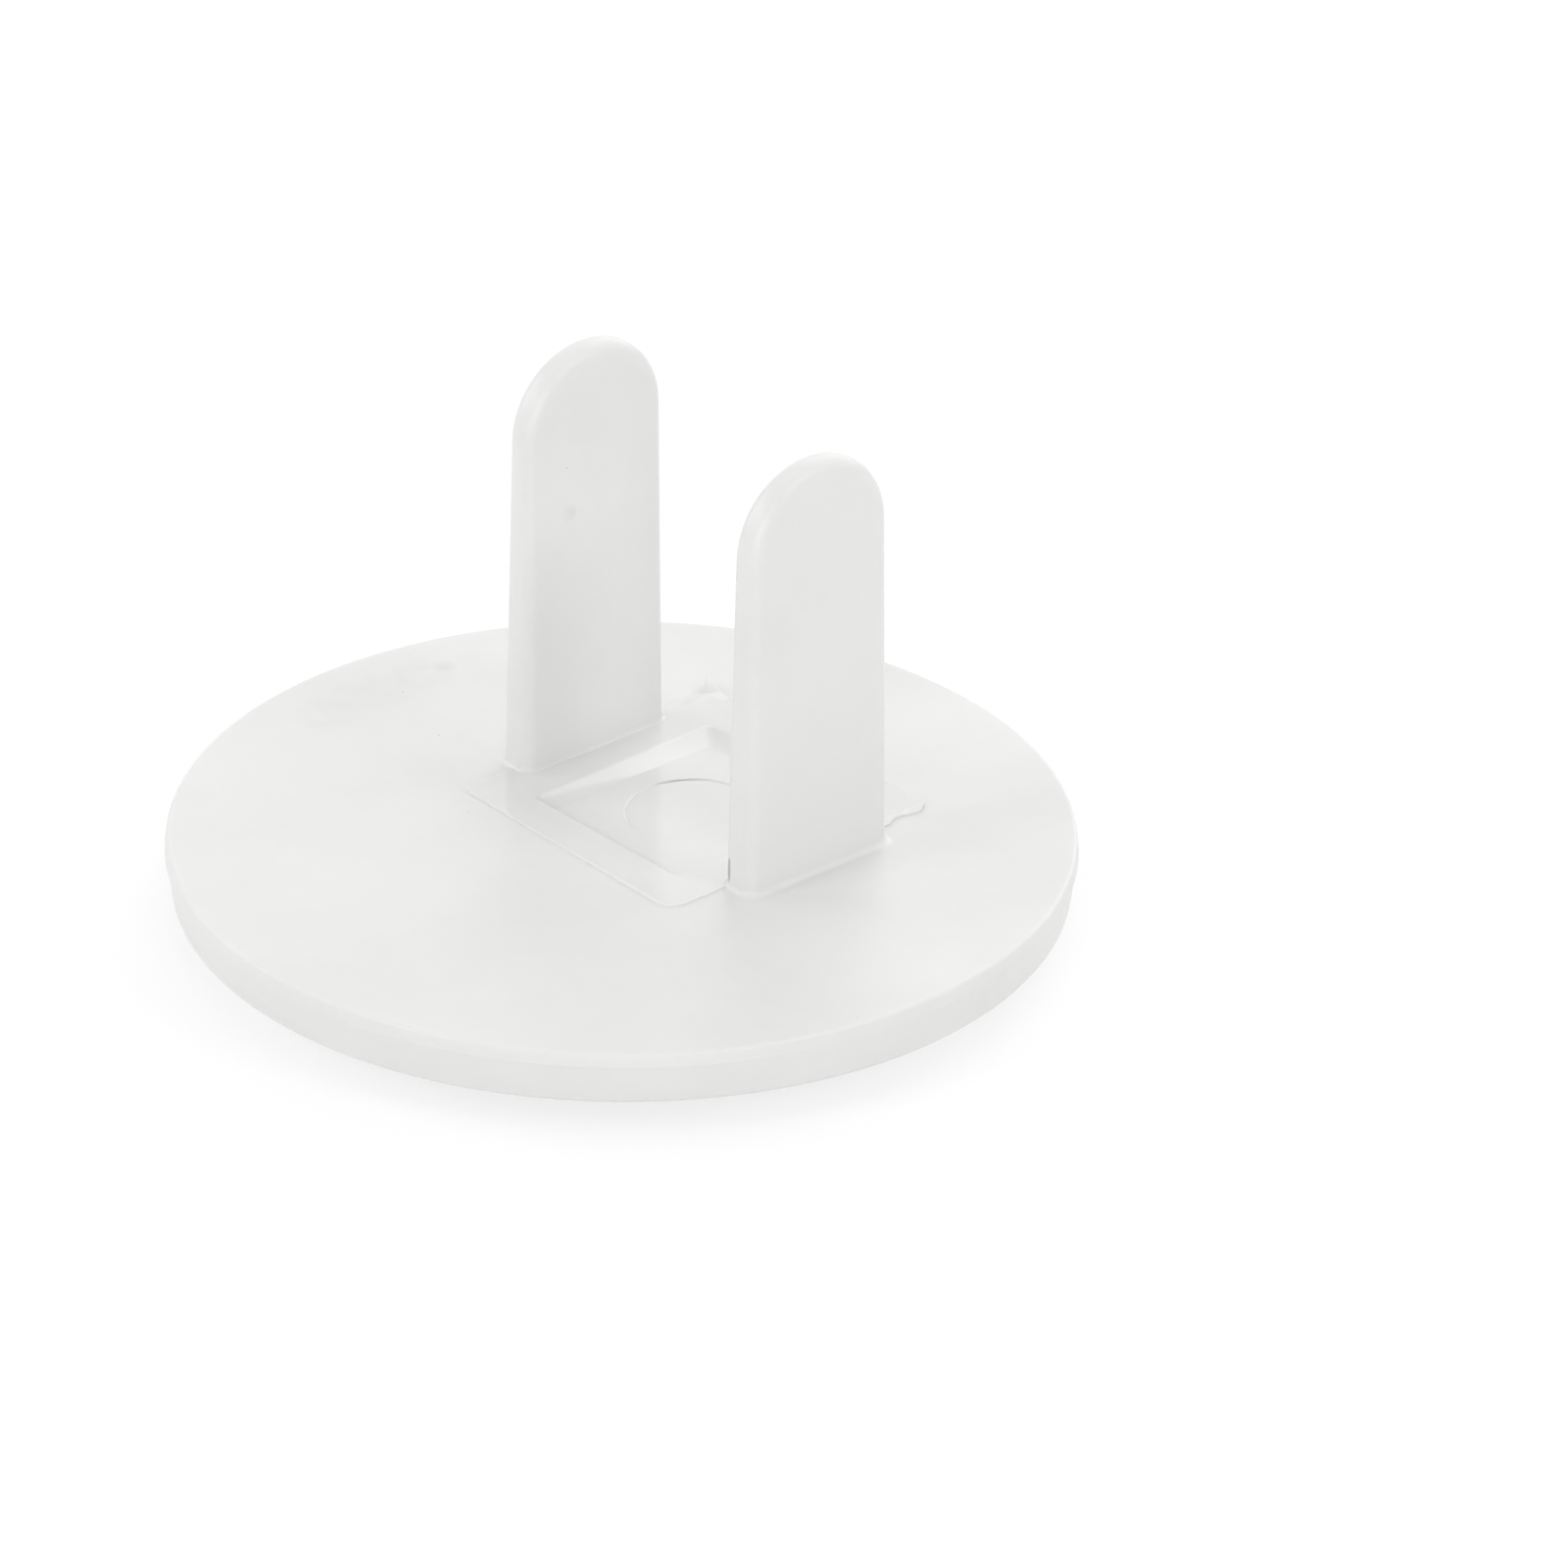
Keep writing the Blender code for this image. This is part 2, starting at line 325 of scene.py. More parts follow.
def back_height(sizes):
    """The level of the disc's back, which the blades stand on."""
    return sizes.rim_height + sizes.front_dome


def pair_middle(sizes):
    """The middle between the two blades, on the back."""
    return Vector((0.0, sizes.blade_offset, back_height(sizes)))


def pin_middle(sizes):
    """The middle of the round mark's floor."""
    depth = sizes.pan_depth + sizes.pin_mark_depth
    return pair_middle(sizes) + Vector((sizes.pin_mark_shift, -sizes.pin_mark_shift, -depth))


def vertices_in(geometry):
    """The vertices among what a bmesh operator gives back."""
    return [part for part in geometry if isinstance(part, bmesh.types.BMVert)]


def faces_in(geometry):
    """The faces among what a bmesh operator gives back."""
    return [part for part in geometry if isinstance(part, bmesh.types.BMFace)]


def make_object(shape, name):
    """Closes a bmesh's seams, turns its faces outwards and links it as an object at the origin."""
    bmesh.ops.remove_doubles(shape, verts=shape.verts, dist=MERGE_DISTANCE)
    bmesh.ops.recalc_face_normals(shape, faces=shape.faces)
    mesh = bpy.data.meshes.new(name)
    shape.to_mesh(mesh)
    shape.free()
    thing = bpy.data.objects.new(name, mesh)
    bpy.context.collection.objects.link(thing)
    return thing


def rounded_plate(corners, level):
    """A bmesh with one level face that has four round corners.

    The corners are given as x, y and radius, in the order -X -Y, +X -Y, -X +Y and +X +Y.
    """
    shape = bmesh.new()
    bmesh.ops.create_grid(shape, x_segments=1, y_segments=1, size=0.5)
    points = sorted(shape.verts, key=lambda point: (point.co.y, point.co.x))
    for point, (across, along, _) in zip(points, corners):
        point.co = (across, along, level)
    for point, (_, _, radius) in zip(points, corners):
        bmesh.ops.bevel(
            shape,
            geom=[point],
            offset=radius,
            offset_type="OFFSET",
            segments=CORNER_STEPS,
            profile=0.5,
            affect="VERTICES",
            material=-1,
        )
    return shape


def rectangle(centre, size_x, size_y, radius):
    """The four corners of a rectangle, as rounded_plate takes them."""
    return [
        (centre.x + side_x * size_x / 2, centre.y + side_y * size_y / 2, radius)
        for side_y in (-1, 1)
        for side_x in (-1, 1)
    ]


def raise_level(shape, face, rise, spread=0.0):
    """Extrudes a level face by a rise, moves its four sides outwards by a spread and returns the new face."""
    middle = face.calc_center_bounds()
    closed = all(len(edge.link_faces) > 1 for edge in face.edges)
    raised = bmesh.ops.extrude_face_region(shape, geom=[face])["geom"]
    for point in vertices_in(raised):
        point.co.x += spread * math.copysign(1.0, point.co.x - middle.x)
        point.co.y += spread * math.copysign(1.0, point.co.y - middle.y)
        point.co.z += rise
    if closed:
        bmesh.ops.delete(shape, geom=[face], context="FACES_ONLY")
    return faces_in(raised)[0]


def disc_shape(sizes):
    """The disc: half its section, drawn from a few points, rounded at its corners and spun about Z."""
    back = back_height(sizes)
    rim_radius = sizes.disc_diameter / 2
    draft = math.tan(sizes.rim_draft)
    stepped_radius = rim_radius - sizes.parting_step
    front_radius = stepped_radius - (sizes.rim_height - sizes.parting_depth) * draft
    flat_radius = sizes.front_flat / 2
    reach = front_radius - flat_radius
    dome_radius = (reach**2 + sizes.front_dome**2) / (2 * sizes.front_dome)

    shape = bmesh.new()
    places = [
        (flat_radius, back),
        (rim_radius - sizes.parting_depth * draft, back),
        (rim_radius, back - sizes.parting_depth),
        (stepped_radius, back - sizes.parting_depth),
        (front_radius, sizes.front_dome),
    ]
    points = [shape.verts.new((across, 0.0, up)) for across, up in places]
    for start, finish in zip(points, points[1:]):
        shape.edges.new((start, finish))
    bmesh.ops.spin(
        shape,
        geom=[points[-1]],
        cent=(flat_radius, 0.0, dome_radius),
        axis=(0.0, 1.0, 0.0),
        angle=math.asin(reach / dome_radius),
        steps=DOME_STEPS,
    )
    for corner, radius in ((points[1], sizes.back_edge_round), (points[4], sizes.front_edge_round)):
        ways = [edge.other_vert(corner).co - corner.co for edge in corner.link_edges]
        bmesh.ops.bevel(
            shape,
            geom=[corner],
            offset=radius / math.tan(ways[0].angle(ways[1]) / 2),
            offset_type="OFFSET",
            segments=CORNER_STEPS,
            profile=0.5,
            affect="VERTICES",
            material=-1,
        )
    bmesh.ops.spin(
        shape,
        geom=shape.verts[:] + shape.edges[:],
        cent=(0.0, 0.0, 0.0),
        axis=(0.0, 0.0, 1.0),
        angle=math.tau,
        steps=DISC_SEGMENTS,
        use_merge=True,
    )
    bmesh.ops.holes_fill(shape, edges=[edge for edge in shape.edges if edge.is_boundary], sides=0)
    return shape


def insert_corners(sizes):
    """The corners of the insert's mark. The front one is worn blunt and lies a little out of square."""
    centre = pair_middle(sizes) + INSERT_SHIFT
    corners = rectangle(centre, sizes.insert_size_x, sizes.insert_size_y, sizes.insert_corner)
    across, along, radius = corners[1]
    out_along = along - sizes.insert_skew_y
    corners[1] = (across + sizes.insert_skew_x, out_along, FRONT_CORNER_WEAR * radius)
    return corners


def insert_shape(sizes):
    """The low square step that the mould's insert leaves, with slightly drafted sides."""
    shape = rounded_plate(insert_corners(sizes), back_height(sizes) - OVERLAP)
    top = raise_level(shape, shape.faces[:][0], OVERLAP)
    raise_level(shape, top, sizes.insert_step, -STEP_DRAFT * sizes.insert_step)
    return shape


def pan_shape(sizes):
    """Cutter of the pan: its walls ease out of the floor and grow steeper towards the lip."""
    run = sizes.pan_wall_run
    floor_x = sizes.pan_size_x - 2 * run
    floor_y = sizes.pan_size_y - 2 * run
    floor = rectangle(pair_middle(sizes), floor_x, floor_y, PAN_FLOOR_CORNER)
    shape = rounded_plate(floor, back_height(sizes) - sizes.pan_depth)
    face = shape.faces[:][0]
    risen = 0.0
    for step in range(1, WALL_STEPS + 1):
        share = step / WALL_STEPS
        eased = WALL_EASE * share + (1 - WALL_EASE) * share**2
        face = raise_level(shape, face, sizes.pan_depth * eased - risen, run / WALL_STEPS)
        risen = sizes.pan_depth * eased
    lip_slope = (2 - WALL_EASE) * sizes.pan_depth / run
    raise_level(shape, face, OVERLAP, OVERLAP / lip_slope)
    for point in shape.verts:
        point.co += PAN_SHIFT * (back_height(sizes) - point.co.z) / sizes.pan_depth
    return shape


def pin_shape(sizes):
    """Cutter of the ejector pin's mark, with a sloped wall. It lies a little deeper on its far side."""
    shape = bmesh.new()
    floor_radius = sizes.pin_mark_diameter / 2 - sizes.pin_mark_depth
    bmesh.ops.create_cone(
        shape,
        cap_ends=True,
        segments=PIN_SEGMENTS,
        radius1=floor_radius,
        radius2=floor_radius + sizes.pan_depth,
        depth=sizes.pan_depth,
    )
    bmesh.ops.translate(shape, vec=(0.0, 0.0, sizes.pan_depth / 2), verts=shape.verts)
    lean = Matrix.Rotation(PIN_LEAN, 3, PIN_HINGE)
    bmesh.ops.rotate(shape, cent=(0.0, 0.0, 0.0), matrix=lean, verts=shape.verts)
    bmesh.ops.translate(shape, vec=pin_middle(sizes), verts=shape.verts)
    return shape


def blade_shape(sizes, side):
    """One blade: a half disc with its straight side drawn down, thickened, rounded, drafted and given a foot.

    The side is -1 for the left blade and 1 for the right one.
    """
    tip_radius = sizes.blade_tip_width / 2
    shank = sizes.blade_length - tip_radius
    shape = bmesh.new()
    bmesh.ops.create_circle(shape, cap_ends=True, segments=TIP_SEGMENTS, radius=tip_radius)
    upright = Matrix(((0.0, 0.0, 1.0), (1.0, 0.0, 0.0), (0.0, 1.0, 0.0)))
    bmesh.ops.rotate(shape, cent=(0.0, 0.0, 0.0), matrix=upright, verts=shape.verts)
    everything = shape.verts[:] + shape.edges[:] + shape.faces[:]
    bmesh.ops.bisect_plane(
        shape,
        geom=everything,
        dist=MERGE_DISTANCE,
        plane_co=(0.0, 0.0, 0.0),
        plane_no=(0.0, 0.0, 1.0),
        clear_inner=True,
    )

    def is_straight(edge):
        return all(abs(point.co.z) < MERGE_DISTANCE for point in edge.verts)

    straight = [edge for edge in shape.edges if is_straight(edge)]
    drawn = bmesh.ops.extrude_edge_only(shape, edges=straight)["geom"]
    bmesh.ops.translate(shape, vec=(0.0, 0.0, -shank), verts=vertices_in(drawn))
    bmesh.ops.dissolve_edges(shape, edges=straight)
    bmesh.ops.translate(shape, vec=(-sizes.blade_foot_thickness / 2, 0.0, shank), verts=shape.verts)
    thickened = bmesh.ops.extrude_face_region(shape, geom=shape.faces[:])["geom"]
    bmesh.ops.translate(shape, vec=(sizes.blade_foot_thickness, 0.0, 0.0), verts=vertices_in(thickened))

    def is_long_edge(edge):
        across = [point.co.x for point in edge.verts]
        up = [point.co.z for point in edge.verts]
        return abs(across[0] - across[1]) < MERGE_DISTANCE and max(up) > MERGE_DISTANCE

    bmesh.ops.bevel(
        shape,
        geom=[edge for edge in shape.edges if is_long_edge(edge)],
        offset=sizes.blade_edge_round,
        offset_type="OFFSET",
        segments=EDGE_STEPS,
        profile=0.5,
        affect="EDGES",
        material=-1,
    )
    thinning = (sizes.blade_foot_thickness - sizes.blade_tip_thickness) / 2
    narrowing = sizes.blade_foot_width / sizes.blade_tip_width - 1
    for point in shape.verts:
        point.co.x -= math.copysign(thinning * point.co.z / sizes.blade_length, point.co.x)
        point.co.y *= 1 + narrowing * max(1 - point.co.z / shank, 0.0)

    everything = shape.verts[:] + shape.edges[:] + shape.faces[:]
    bmesh.ops.bisect_plane(
        shape,
        geom=everything,
        dist=MERGE_DISTANCE,
        plane_co=(0.0, 0.0, sizes.blade_fillet),
        plane_no=(0.0, 0.0, 1.0),
        clear_inner=True,
    )
    opening = [edge for edge in shape.edges if edge.is_boundary]
    foot = bmesh.ops.holes_fill(shape, edges=opening, sides=0)["faces"][0]
    height = sizes.blade_fillet
    spread = 0.0
    for step in range(1, CORNER_STEPS + 1):
        turn = math.pi / 2 * step / CORNER_STEPS
        next_height = sizes.blade_fillet * (1 - math.sin(turn))
        next_spread = sizes.blade_fillet * (1 - math.cos(turn))
        foot = raise_level(shape, foot, next_height - height, next_spread - spread)
        height, spread = next_height, next_spread
    raise_level(shape, foot, -OVERLAP)
    place = pair_middle(sizes) + Vector((side * sizes.blade_spacing / 2, 0.0, 0.0))
    bmesh.ops.translate(shape, vec=place, verts=shape.verts)
    return shape


def crevice_shape(sizes):
    """Cutter of the crevice at the pin's mark: a ring that is tilted so that it bites on one side only."""
    shape = bmesh.new()
    radius = sizes.pin_mark_diameter / 2 - sizes.pin_mark_depth
    bmesh.ops.create_circle(shape, segments=CREVICE_SEGMENTS, radius=sizes.crevice / 2)
    upright = Matrix.Rotation(math.pi / 2, 3, "X")
    bmesh.ops.rotate(shape, cent=(0.0, 0.0, 0.0), matrix=upright, verts=shape.verts)
    bmesh.ops.translate(shape, vec=(radius, 0.0, 0.0), verts=shape.verts)
    bmesh.ops.spin(
        shape,
        geom=shape.verts[:] + shape.edges[:],
        cent=(0.0, 0.0, 0.0),
        axis=(0.0, 0.0, 1.0),
        angle=math.tau,
        steps=PIN_SEGMENTS,
        use_merge=True,
    )
    hinge = CREVICE_WAY.cross(Vector((0.0, 0.0, 1.0)))
    lean = Matrix.Rotation(-CREVICE_LEAN, 3, hinge)
    bmesh.ops.rotate(shape, cent=CREVICE_WAY * radius, matrix=lean, verts=shape.verts)
    bmesh.ops.translate(shape, vec=pin_middle(sizes), verts=shape.verts)
    return shape


def tear_shape(sizes):
    """Cutter of the small tear in a blade's long edge."""
    shape = bmesh.new()
    bmesh.ops.create_icosphere(shape, subdivisions=3, radius=1.0)
    bmesh.ops.scale(shape, vec=TEAR_REACH, verts=shape.verts)
    turned = Matrix.Rotation(TEAR_TURN, 3, "Z")
    bmesh.ops.rotate(shape, cent=(0.0, 0.0, 0.0), matrix=turned, verts=shape.verts)
    place = TEAR_PLACE + Vector((0.0, 0.0, back_height(sizes)))
    bmesh.ops.translate(shape, vec=place, verts=shape.verts)
    return shape


def flake_shape(outline, level, noise_shift):
    """A thin flake of flash: a fan of faces over a torn outline of x, y and rise above a level, in mm."""
    shape = bmesh.new()
    bmesh.ops.create_circle(shape, cap_ends=True, cap_tris=True, segments=len(outline), radius=MM)
    hub = min(shape.verts, key=lambda point: point.co.length)
    ring = [point for point in shape.verts if point is not hub]
    ring.sort(key=lambda point: math.atan2(point.co.y, point.co.x))
    for point, (across, along, rise) in zip(ring, outline):
        point.co = Vector((across, along, rise)) * MM + Vector((0.0, 0.0, level))
    hub.co = sum((point.co for point in ring), Vector()) / len(ring)
    bmesh.ops.subdivide_edges(shape, edges=shape.edges[:], cuts=FLAKE_CUTS, use_grid_fill=True)
    # Blender starts this noise at another place each time it opens, and nothing here seeds it, so the torn
    # flakes differ by a few hundredths of a millimetre from run to run
    for point in shape.verts:
        rough = noise.noise_vector(point.co / FLAKE_GRAIN + Vector((noise_shift, 0.0, 0.0)))
        point.co += Vector((rough.x, rough.y, 0.0)) * FLASH_ROUGHNESS
    lowered = bmesh.ops.extrude_face_region(shape, geom=shape.faces[:])["geom"]
    bmesh.ops.translate(shape, vec=(0.0, 0.0, -FLASH_THICKNESS), verts=vertices_in(lowered))
    return shape


# Materials


def add_node(tree, kind, settings=None, inputs=None):
    """Adds a node with its settings, and gives each named input a value or a link from an output."""
    node = tree.nodes.new(kind)
    for name, value in (settings or {}).items():
        setattr(node, name, value)
    for name, value in (inputs or {}).items():
        if isinstance(value, bpy.types.NodeSocket):
            tree.links.new(value, node.inputs[name])
        else:
            node.inputs[name].default_value = value
    return node


def natural_polythene(looks):
    """Low-density polythene, injection moulded in a polished mould and left undyed.

    It is milky white and lets a little light in, with a soft gloss that mirrors what stands close to it.
    """
    material = bpy.data.materials.new(PLASTIC)
    material.use_nodes = True
    tree = material.node_tree
    shader = tree.nodes["Principled BSDF"]
    place = add_node(tree, "ShaderNodeTexCoord").outputs["Object"]

    cloud = add_node(
        tree,
        "ShaderNodeTexNoise",
        inputs={"Vector": place, "Scale": 1 / CLOUD_SIZE, "Detail": 3.0, "Roughness": 0.55},
    ).outputs["Fac"]
    mottle = add_node(
        tree, "ShaderNodeTexNoise", inputs={"Vector": place, "Scale": 1 / MOTTLE_SIZE, "Detail": 2.0}
    ).outputs["Fac"]
    milky = clouded(tree, looks, cloud, mottle)
    specked = with_specks(tree, place, looks, milky)
    spotted = with_dark_patches(tree, place, looks, mottle, specked)
    tree.links.new(spotted, shader.inputs["Base Color"])
    tree.links.new(skin_roughness(tree, place, cloud), shader.inputs["Roughness"])
    tree.links.new(skin_normal(tree, place), shader.inputs["Normal"])

    shader.inputs["IOR"].default_value = 1.51
    shader.inputs["Specular IOR Level"].default_value = 0.5
    shader.inputs["Subsurface Weight"].default_value = 0.3
    shader.inputs["Subsurface Radius"].default_value = (1.0, 1.0, 1.0)
    shader.inputs["Subsurface Scale"].default_value = 0.4 * MM
    return material


def clouded(tree, looks, cloud, mottle):
    """The plastic's own colour, with the slightly greyer clouds of the melt's flow and a fine mottle."""
    # The mottle counts for a fifth of what the clouds do
    both = add_node(
        tree, "ShaderNodeMath", {"operation": "MULTIPLY_ADD"}, {0: mottle, 1: 0.2, 2: cloud}
    )
    share = add_node(
        tree,
        "ShaderNodeMapRange",
        {"interpolation_type": "SMOOTHSTEP"},
        {"Value": both.outputs["Value"], "From Min": 0.4, "From Max": 0.85},
    )
    mixed = add_node(
        tree,
        "ShaderNodeMix",
        {"data_type": "RGBA"},
        {"Factor": share.outputs["Result"], MIX_FIRST: looks.plastic, MIX_SECOND: looks.cloud},
    )
    return mixed.outputs[MIX_RESULT]


def with_specks(tree, place, looks, under):
    """A colour with specks on it: small balls, one in each cell, that show where the surface cuts them."""
    grains = add_node(tree, "ShaderNodeTexVoronoi", inputs={"Vector": place, "Scale": 1 / SPECK_CELL})
    speck = add_node(
        tree,
        "ShaderNodeMapRange",
        {"interpolation_type": "SMOOTHSTEP"},
        {
            "Value": grains.outputs["Distance"],
            "From Min": SPECK_CORE / SPECK_CELL,
            "From Max": SPECK_RADIUS / SPECK_CELL,
            "To Min": SPECK_SHARE,
            "To Max": 0.0,
        },
    )
    mixed = add_node(
        tree,
        "ShaderNodeMix",
        {"data_type": "RGBA"},
        {"Factor": speck.outputs["Result"], MIX_FIRST: under, MIX_SECOND: looks.speck},
    )
    return mixed.outputs[MIX_RESULT]


def with_dark_patches(tree, place, looks, mottle, under):
    """A colour with faint darker patches and spots on it, broken up by the mottle."""
    for middle, reach, share in DARK_PATCHES:
        broken = add_node(
            tree,
            "ShaderNodeMath",
            {"operation": "MULTIPLY"},
            {0: round_spot(tree, place, middle, reach), 1: mottle},
        )
        # The mottle is about one half, so doubled it keeps the share
        strength = add_node(
            tree, "ShaderNodeMath", {"operation": "MULTIPLY"}, {0: broken.outputs["Value"], 1: 2 * share}
        )
        mixed = add_node(
            tree,
            "ShaderNodeMix",
            {"data_type": "RGBA"},
            {"Factor": strength.outputs["Value"], MIX_FIRST: under, MIX_SECOND: looks.speck},
        )
        under = mixed.outputs[MIX_RESULT]
    return under


def skin_roughness(tree, place, cloud):
    """How rough the skin is: it varies a little, and the insert's mark is polished brighter than the rest."""
    least, most = SKIN_ROUGHNESS
    skin = add_node(
        tree,
        "ShaderNodeMapRange",
        inputs={"Value": cloud, "From Min": 0.3, "From Max": 0.7, "To Min": least, "To Max": most},
    )
    polished = add_node(
        tree,
        "ShaderNodeMath",
        {"operation": "MULTIPLY_ADD"},
        {0: inside_insert(tree, place), 1: -POLISH_GAIN, 2: skin.outputs["Result"]},
    )
    return polished.outputs["Value"]


def skin_normal(tree, place):
    """Slow waves of shrinkage, and on them the grain of the polished mould."""
    waves = add_node(
        tree, "ShaderNodeTexNoise", inputs={"Vector": place, "Scale": 1 / WAVE_SIZE, "Detail": 1.0}
    )
    grain = add_node(
        tree, "ShaderNodeTexNoise", inputs={"Vector": place, "Scale": 1 / GRAIN_SIZE, "Detail": 2.0}
    )
    wavy = add_node(
        tree,
        "ShaderNodeBump",
        inputs={"Height": waves.outputs["Fac"], "Strength": 1.0, "Distance": WAVE_HEIGHT},
    )
    grained = add_node(
        tree,
        "ShaderNodeBump",
        inputs={
            "Height": grain.outputs["Fac"],
            "Strength": 1.0,
            "Distance": GRAIN_HEIGHT,
            "Normal": wavy.outputs["Normal"],
        },
    )
    return grained.outputs["Normal"]


def round_spot(tree, place, middle, reach):
    """1 in the middle of a soft spot on the surface and 0 beyond its reach. Both are given in mm."""
    offset = add_node(
        tree, "ShaderNodeVectorMath", {"operation": "SUBTRACT"}, {0: place, 1: Vector(middle) * MM}
    )
    away = add_node(tree, "ShaderNodeVectorMath", {"operation": "LENGTH"}, {0: offset.outputs["Vector"]})
    spot = add_node(
        tree,
        "ShaderNodeMapRange",
        {"interpolation_type": "SMOOTHSTEP"},
        {
            "Value": away.outputs["Value"],
            "From Min": 0.5 * reach * MM,
            "From Max": reach * MM,
            "To Min": 1.0,
            "To Max": 0.0,
        },
    )
    return spot.outputs["Result"]


def inside_insert(tree, place):
    """1 within the insert's mark on the back and 0 beyond it, with a soft border."""
    offset = add_node(tree, "ShaderNodeVectorMath", {"operation": "SUBTRACT"}, {0: place, 1: POLISH_MIDDLE})
    away = add_node(tree, "ShaderNodeVectorMath", {"operation": "ABSOLUTE"}, {0: offset.outputs["Vector"]})
    axes = add_node(tree, "ShaderNodeSeparateXYZ", inputs={"Vector": away.outputs["Vector"]})
    inside = None
    for axis, reach in zip("XYZ", POLISH_REACH):
        within = add_node(
            tree,
            "ShaderNodeMapRange",
            {"interpolation_type": "SMOOTHSTEP"},
            {
                "Value": axes.outputs[axis],
                "From Min": reach - POLISH_BORDER,
                "From Max": reach + POLISH_BORDER,
                "To Min": 1.0,
                "To Max": 0.0,
            },
        )
        if inside is None:
            inside = within.outputs["Result"]
        else:
            both = add_node(
                tree, "ShaderNodeMath", {"operation": "MULTIPLY"}, {0: inside, 1: within.outputs["Result"]}
            )
            inside = both.outputs["Value"]
    return inside


def white_paper(studio):
    """Matt white paper. The camera sees it as white as the backdrop, less the cover's own soft shadow."""
    material = bpy.data.materials.new("white_paper")
    material.use_nodes = True
    tree = material.node_tree
    tree.nodes.clear()
    place = add_node(tree, "ShaderNodeTexCoord").outputs["Object"]
    fibre = add_node(
        tree, "ShaderNodeTexNoise", inputs={"Vector": place, "Scale": 1 / FIBRE_SIZE, "Detail": 4.0}
    )
    tint = add_node(
        tree,
        "ShaderNodeMix",
        {"data_type": "RGBA"},
        {"Factor": fibre.outputs["Fac"], MIX_FIRST: studio.paper, MIX_SECOND: studio.fibre},
    )
    matt = add_node(tree, "ShaderNodeBsdfDiffuse", inputs={"Color": tint.outputs[MIX_RESULT]})
    white = linear("FFFFFF")
    glow = add_node(tree, "ShaderNodeEmission", inputs={"Color": white, "Strength": PAPER_GLOW})
    lit = add_node(
        tree,
        "ShaderNodeMixShader",
        inputs={"Fac": PAPER_GLOW_SHARE, 1: matt.outputs["BSDF"], 2: glow.outputs["Emission"]},
    )
    chosen = add_node(
        tree,
        "ShaderNodeMixShader",
        inputs={"Fac": direct_rays(tree), 1: matt.outputs["BSDF"], 2: lit.outputs["Shader"]},
    )
    add_node(tree, "ShaderNodeOutputMaterial", inputs={"Surface": chosen.outputs["Shader"]})
    return material


def direct_rays(tree):
    """1 for what the camera sees, straight or mirrored or through something, and 0 for light on things."""
    path = add_node(tree, "ShaderNodeLightPath")
    mirrored = add_node(
        tree,
        "ShaderNodeMath",
        {"operation": "MAXIMUM"},
        {0: path.outputs["Is Camera Ray"], 1: path.outputs["Is Glossy Ray"]},
    )
    seen = add_node(
        tree,
        "ShaderNodeMath",
        {"operation": "MAXIMUM"},
        {0: mirrored.outputs["Value"], 1: path.outputs["Is Transmission Ray"]},
    )
    return seen.outputs["Value"]


def finish_piece(thing, material):
    """Gives a piece its material and smooth shading, and fastens it to the cover."""
    thing.data.materials.clear()
    thing.data.materials.append(material)
    thing.data.shade_smooth()
    thing.data.set_sharp_from_angle(angle=SHARP_ANGLE)
    weights = thing.modifiers.new("even_shading", "WEIGHTED_NORMAL")
    weights.keep_sharp = True
    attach(thing, "root")


def plastic_of(context):
    """The cover's one material, made the first time that it is asked for."""
    return bpy.data.materials.get(PLASTIC) or natural_polythene(context.scene.cover_looks)


def joined(body, guides):
    """Joins guide shapes to a body or cuts them away, and leaves one plain mesh."""
    for guide, operation in guides:
        step = body.modifiers.new(guide.name, "BOOLEAN")
        step.object = guide
        step.operation = operation
        step.solver = "EXACT"
    made = body.evaluated_get(bpy.context.evaluated_depsgraph_get())
    mesh = bpy.data.meshes.new_from_object(made)
    mesh.name = body.name
    body.modifiers.clear()
    body.data = mesh
    for guide, _ in guides:
        bpy.data.objects.remove(guide)
    return body


# Operators


class COVER_OT_moulding(bpy.types.Operator):
    """Makes the disc, its blades, the insert's step, the pan and the pin mark as one moulding"""

    bl_idname = "cover.moulding"
    bl_label = "Moulding"

    def execute(self, context):
        sizes = context.scene.cover_sizes
        top = back_height(sizes) + sizes.insert_step
        body = make_object(disc_shape(sizes), "cover_moulding")
        guides = [
            (make_object(insert_shape(sizes), "insert_step"), "UNION"),
            (make_object(pan_shape(sizes), "pan"), "DIFFERENCE"),
            (make_object(pin_shape(sizes), "pin_mark"), "DIFFERENCE"),
            (make_object(crevice_shape(sizes), "pin_crevice"), "DIFFERENCE"),
            (make_object(blade_shape(sizes, -1), "left_blade"), "UNION"),
            (make_object(blade_shape(sizes, 1), "right_blade"), "UNION"),
            (make_object(tear_shape(sizes), "blade_edge_tear"), "DIFFERENCE"),
            (make_object(flake_shape(RIGHT_FLAKE, top, 3.0), "right_corner_flake"), "UNION"),
            (make_object(flake_shape(REAR_FLAKE, top, 4.0), "rear_corner_flake"), "UNION"),
        ]
        joined(body, guides)
        finish_piece(body, plastic_of(context))
        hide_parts(SOLID)
        return {"FINISHED"}


class COVER_OT_studio(bpy.types.Operator):
    """Makes the white floor, the soft lights and the camera"""

    bl_idname = "cover.studio"
    bl_label = "Studio"

    def execute(self, context):
        scene = context.scene
        studio = scene.studio_settings
        middle = Vector((0.0, 0.0, back_height(scene.cover_sizes)))
        make_floor(studio)
        make_sky(scene, studio)
        for light in LIGHTS:
            make_light(middle, *light)
        make_camera(scene, studio, middle)
        scene.view_settings.view_transform = "Standard"
        return {"FINISHED"}


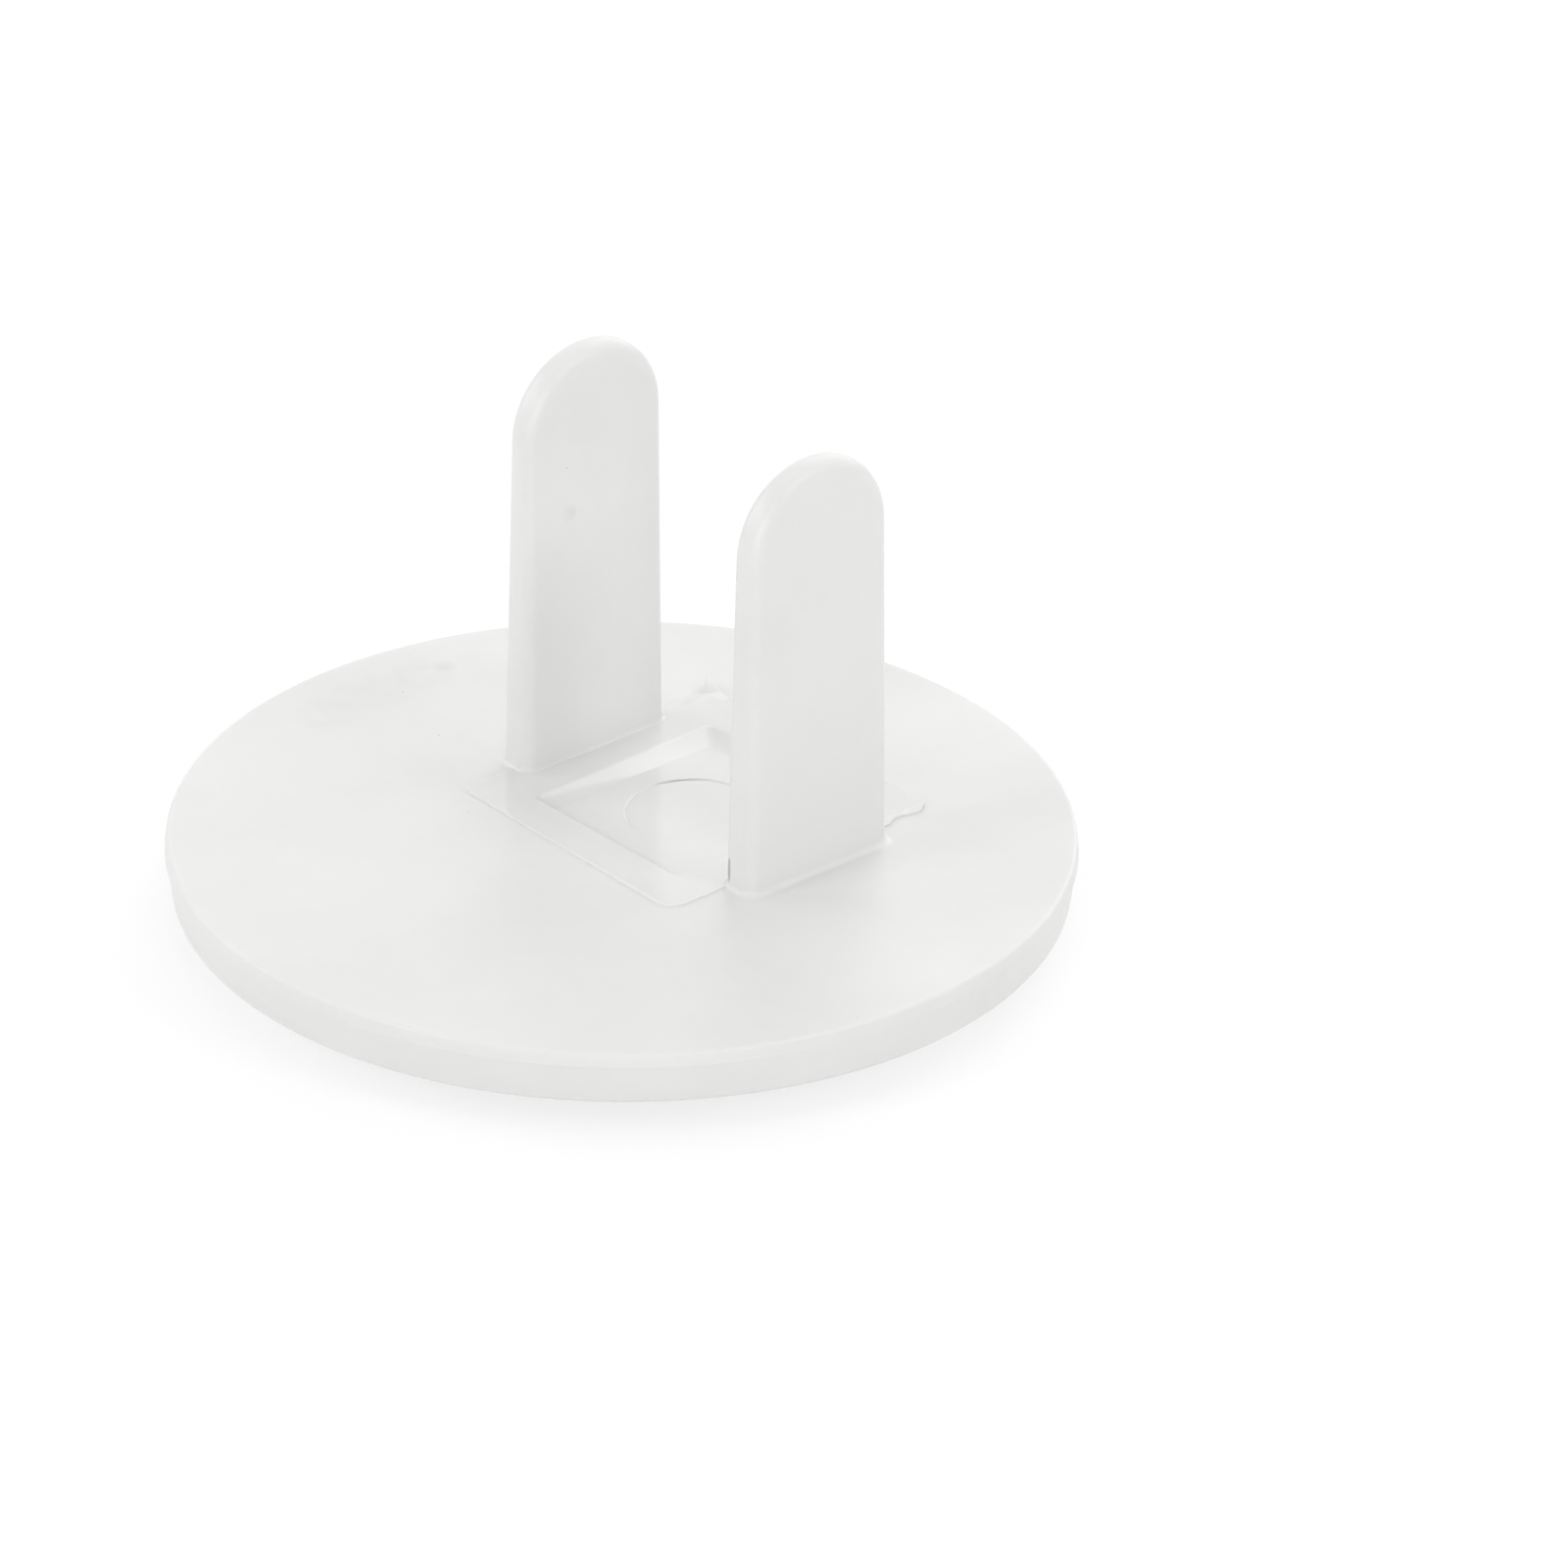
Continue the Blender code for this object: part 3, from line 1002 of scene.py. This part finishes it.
def direction(azimuth, elevation):
    """The way from the cover to a place round it. Azimuth 0 is -Y and 90 degrees is +X."""
    level = math.cos(elevation)
    return Vector((math.sin(azimuth) * level, -math.cos(azimuth) * level, math.sin(elevation)))


def make_floor(studio):
    """A wide sheet of paper, which the cover's small front flat rests on."""
    shape = bmesh.new()
    bmesh.ops.create_grid(shape, x_segments=1, y_segments=1, size=studio.floor_size / 2)
    floor = make_object(shape, "paper_floor")
    floor.data.materials.append(white_paper(studio))


def make_sky(scene, studio):
    """An even white room. The camera sees plain white, and what falls on the cover is a little weaker."""
    world = bpy.data.worlds.new("white_room")
    world.use_nodes = True
    tree = world.node_tree
    tree.nodes.clear()
    strength = add_node(
        tree,
        "ShaderNodeMapRange",
        inputs={"Value": direct_rays(tree), "To Min": studio.room_strength, "To Max": 1.0},
    )
    room = add_node(
        tree,
        "ShaderNodeBackground",
        inputs={"Color": linear("FFFFFF"), "Strength": strength.outputs["Result"]},
    )
    add_node(tree, "ShaderNodeOutputWorld", inputs={"Surface": room.outputs["Background"]})
    scene.world = world


def make_light(middle, name, azimuth, elevation, distance, width, height, strength):
    """A soft box that faces the cover from a place round it."""
    lamp = bpy.data.lights.new(name, "AREA")
    lamp.shape = "RECTANGLE"
    lamp.size = width
    lamp.size_y = height
    lamp.energy = strength
    box = bpy.data.objects.new(name, lamp)
    way = direction(math.radians(azimuth), math.radians(elevation))
    box.location = middle + way * distance
    box.rotation_euler = way.to_track_quat("Z", "Y").to_euler()
    bpy.context.collection.objects.link(box)


def make_camera(scene, studio, middle):
    """A camera that looks at the middle of the disc's back, with the picture moved a little to one side."""
    data = bpy.data.cameras.new("camera")
    data.sensor_width = 36.0
    data.lens = studio.focal_length
    data.clip_start = 0.01
    data.clip_end = 10.0
    camera = bpy.data.objects.new("camera", data)
    back = direction(studio.azimuth, studio.elevation)
    level = Vector((0.0, 0.0, 1.0)).cross(back).normalized()
    turned = Matrix.Rotation(studio.roll, 3, back)
    right = turned @ level
    up = back.cross(right)
    place = middle + back * studio.distance + right * studio.aim_right + up * studio.aim_up
    camera.matrix_world = Matrix.Translation(place) @ Matrix((right, up, back)).transposed().to_4x4()
    bpy.context.collection.objects.link(camera)
    scene.camera = camera


class COVER_PT_panel(bpy.types.Panel):
    """Lists the steps and the sizes"""

    bl_label = "Outlet Safety Cover"
    bl_space_type = "VIEW_3D"
    bl_region_type = "UI"
    bl_category = "Outlet Cover"

    def draw(self, context):
        for kind in OPERATORS:
            self.layout.operator(kind.bl_idname)
        for group in (context.scene.cover_sizes, context.scene.cover_looks, context.scene.studio_settings):
            for name in group.bl_rna.properties.keys():
                if name not in ("rna_type", "name"):
                    self.layout.prop(group, name)


OPERATORS = (COVER_OT_moulding, COVER_OT_studio)
CLASSES = (CoverSizes, CoverLooks, StudioSettings, *OPERATORS, COVER_PT_panel)


def register():
    for kind in CLASSES:
        bpy.utils.register_class(kind)
    bpy.types.Scene.cover_sizes = bpy.props.PointerProperty(type=CoverSizes)
    bpy.types.Scene.cover_looks = bpy.props.PointerProperty(type=CoverLooks)
    bpy.types.Scene.studio_settings = bpy.props.PointerProperty(type=StudioSettings)


def unregister():
    del bpy.types.Scene.studio_settings
    del bpy.types.Scene.cover_looks
    del bpy.types.Scene.cover_sizes
    for kind in reversed(CLASSES):
        bpy.utils.unregister_class(kind)


def main():
    register()
    bpy.ops.cover.moulding()
    bpy.ops.cover.studio()


if __name__ == "__main__":
    main()
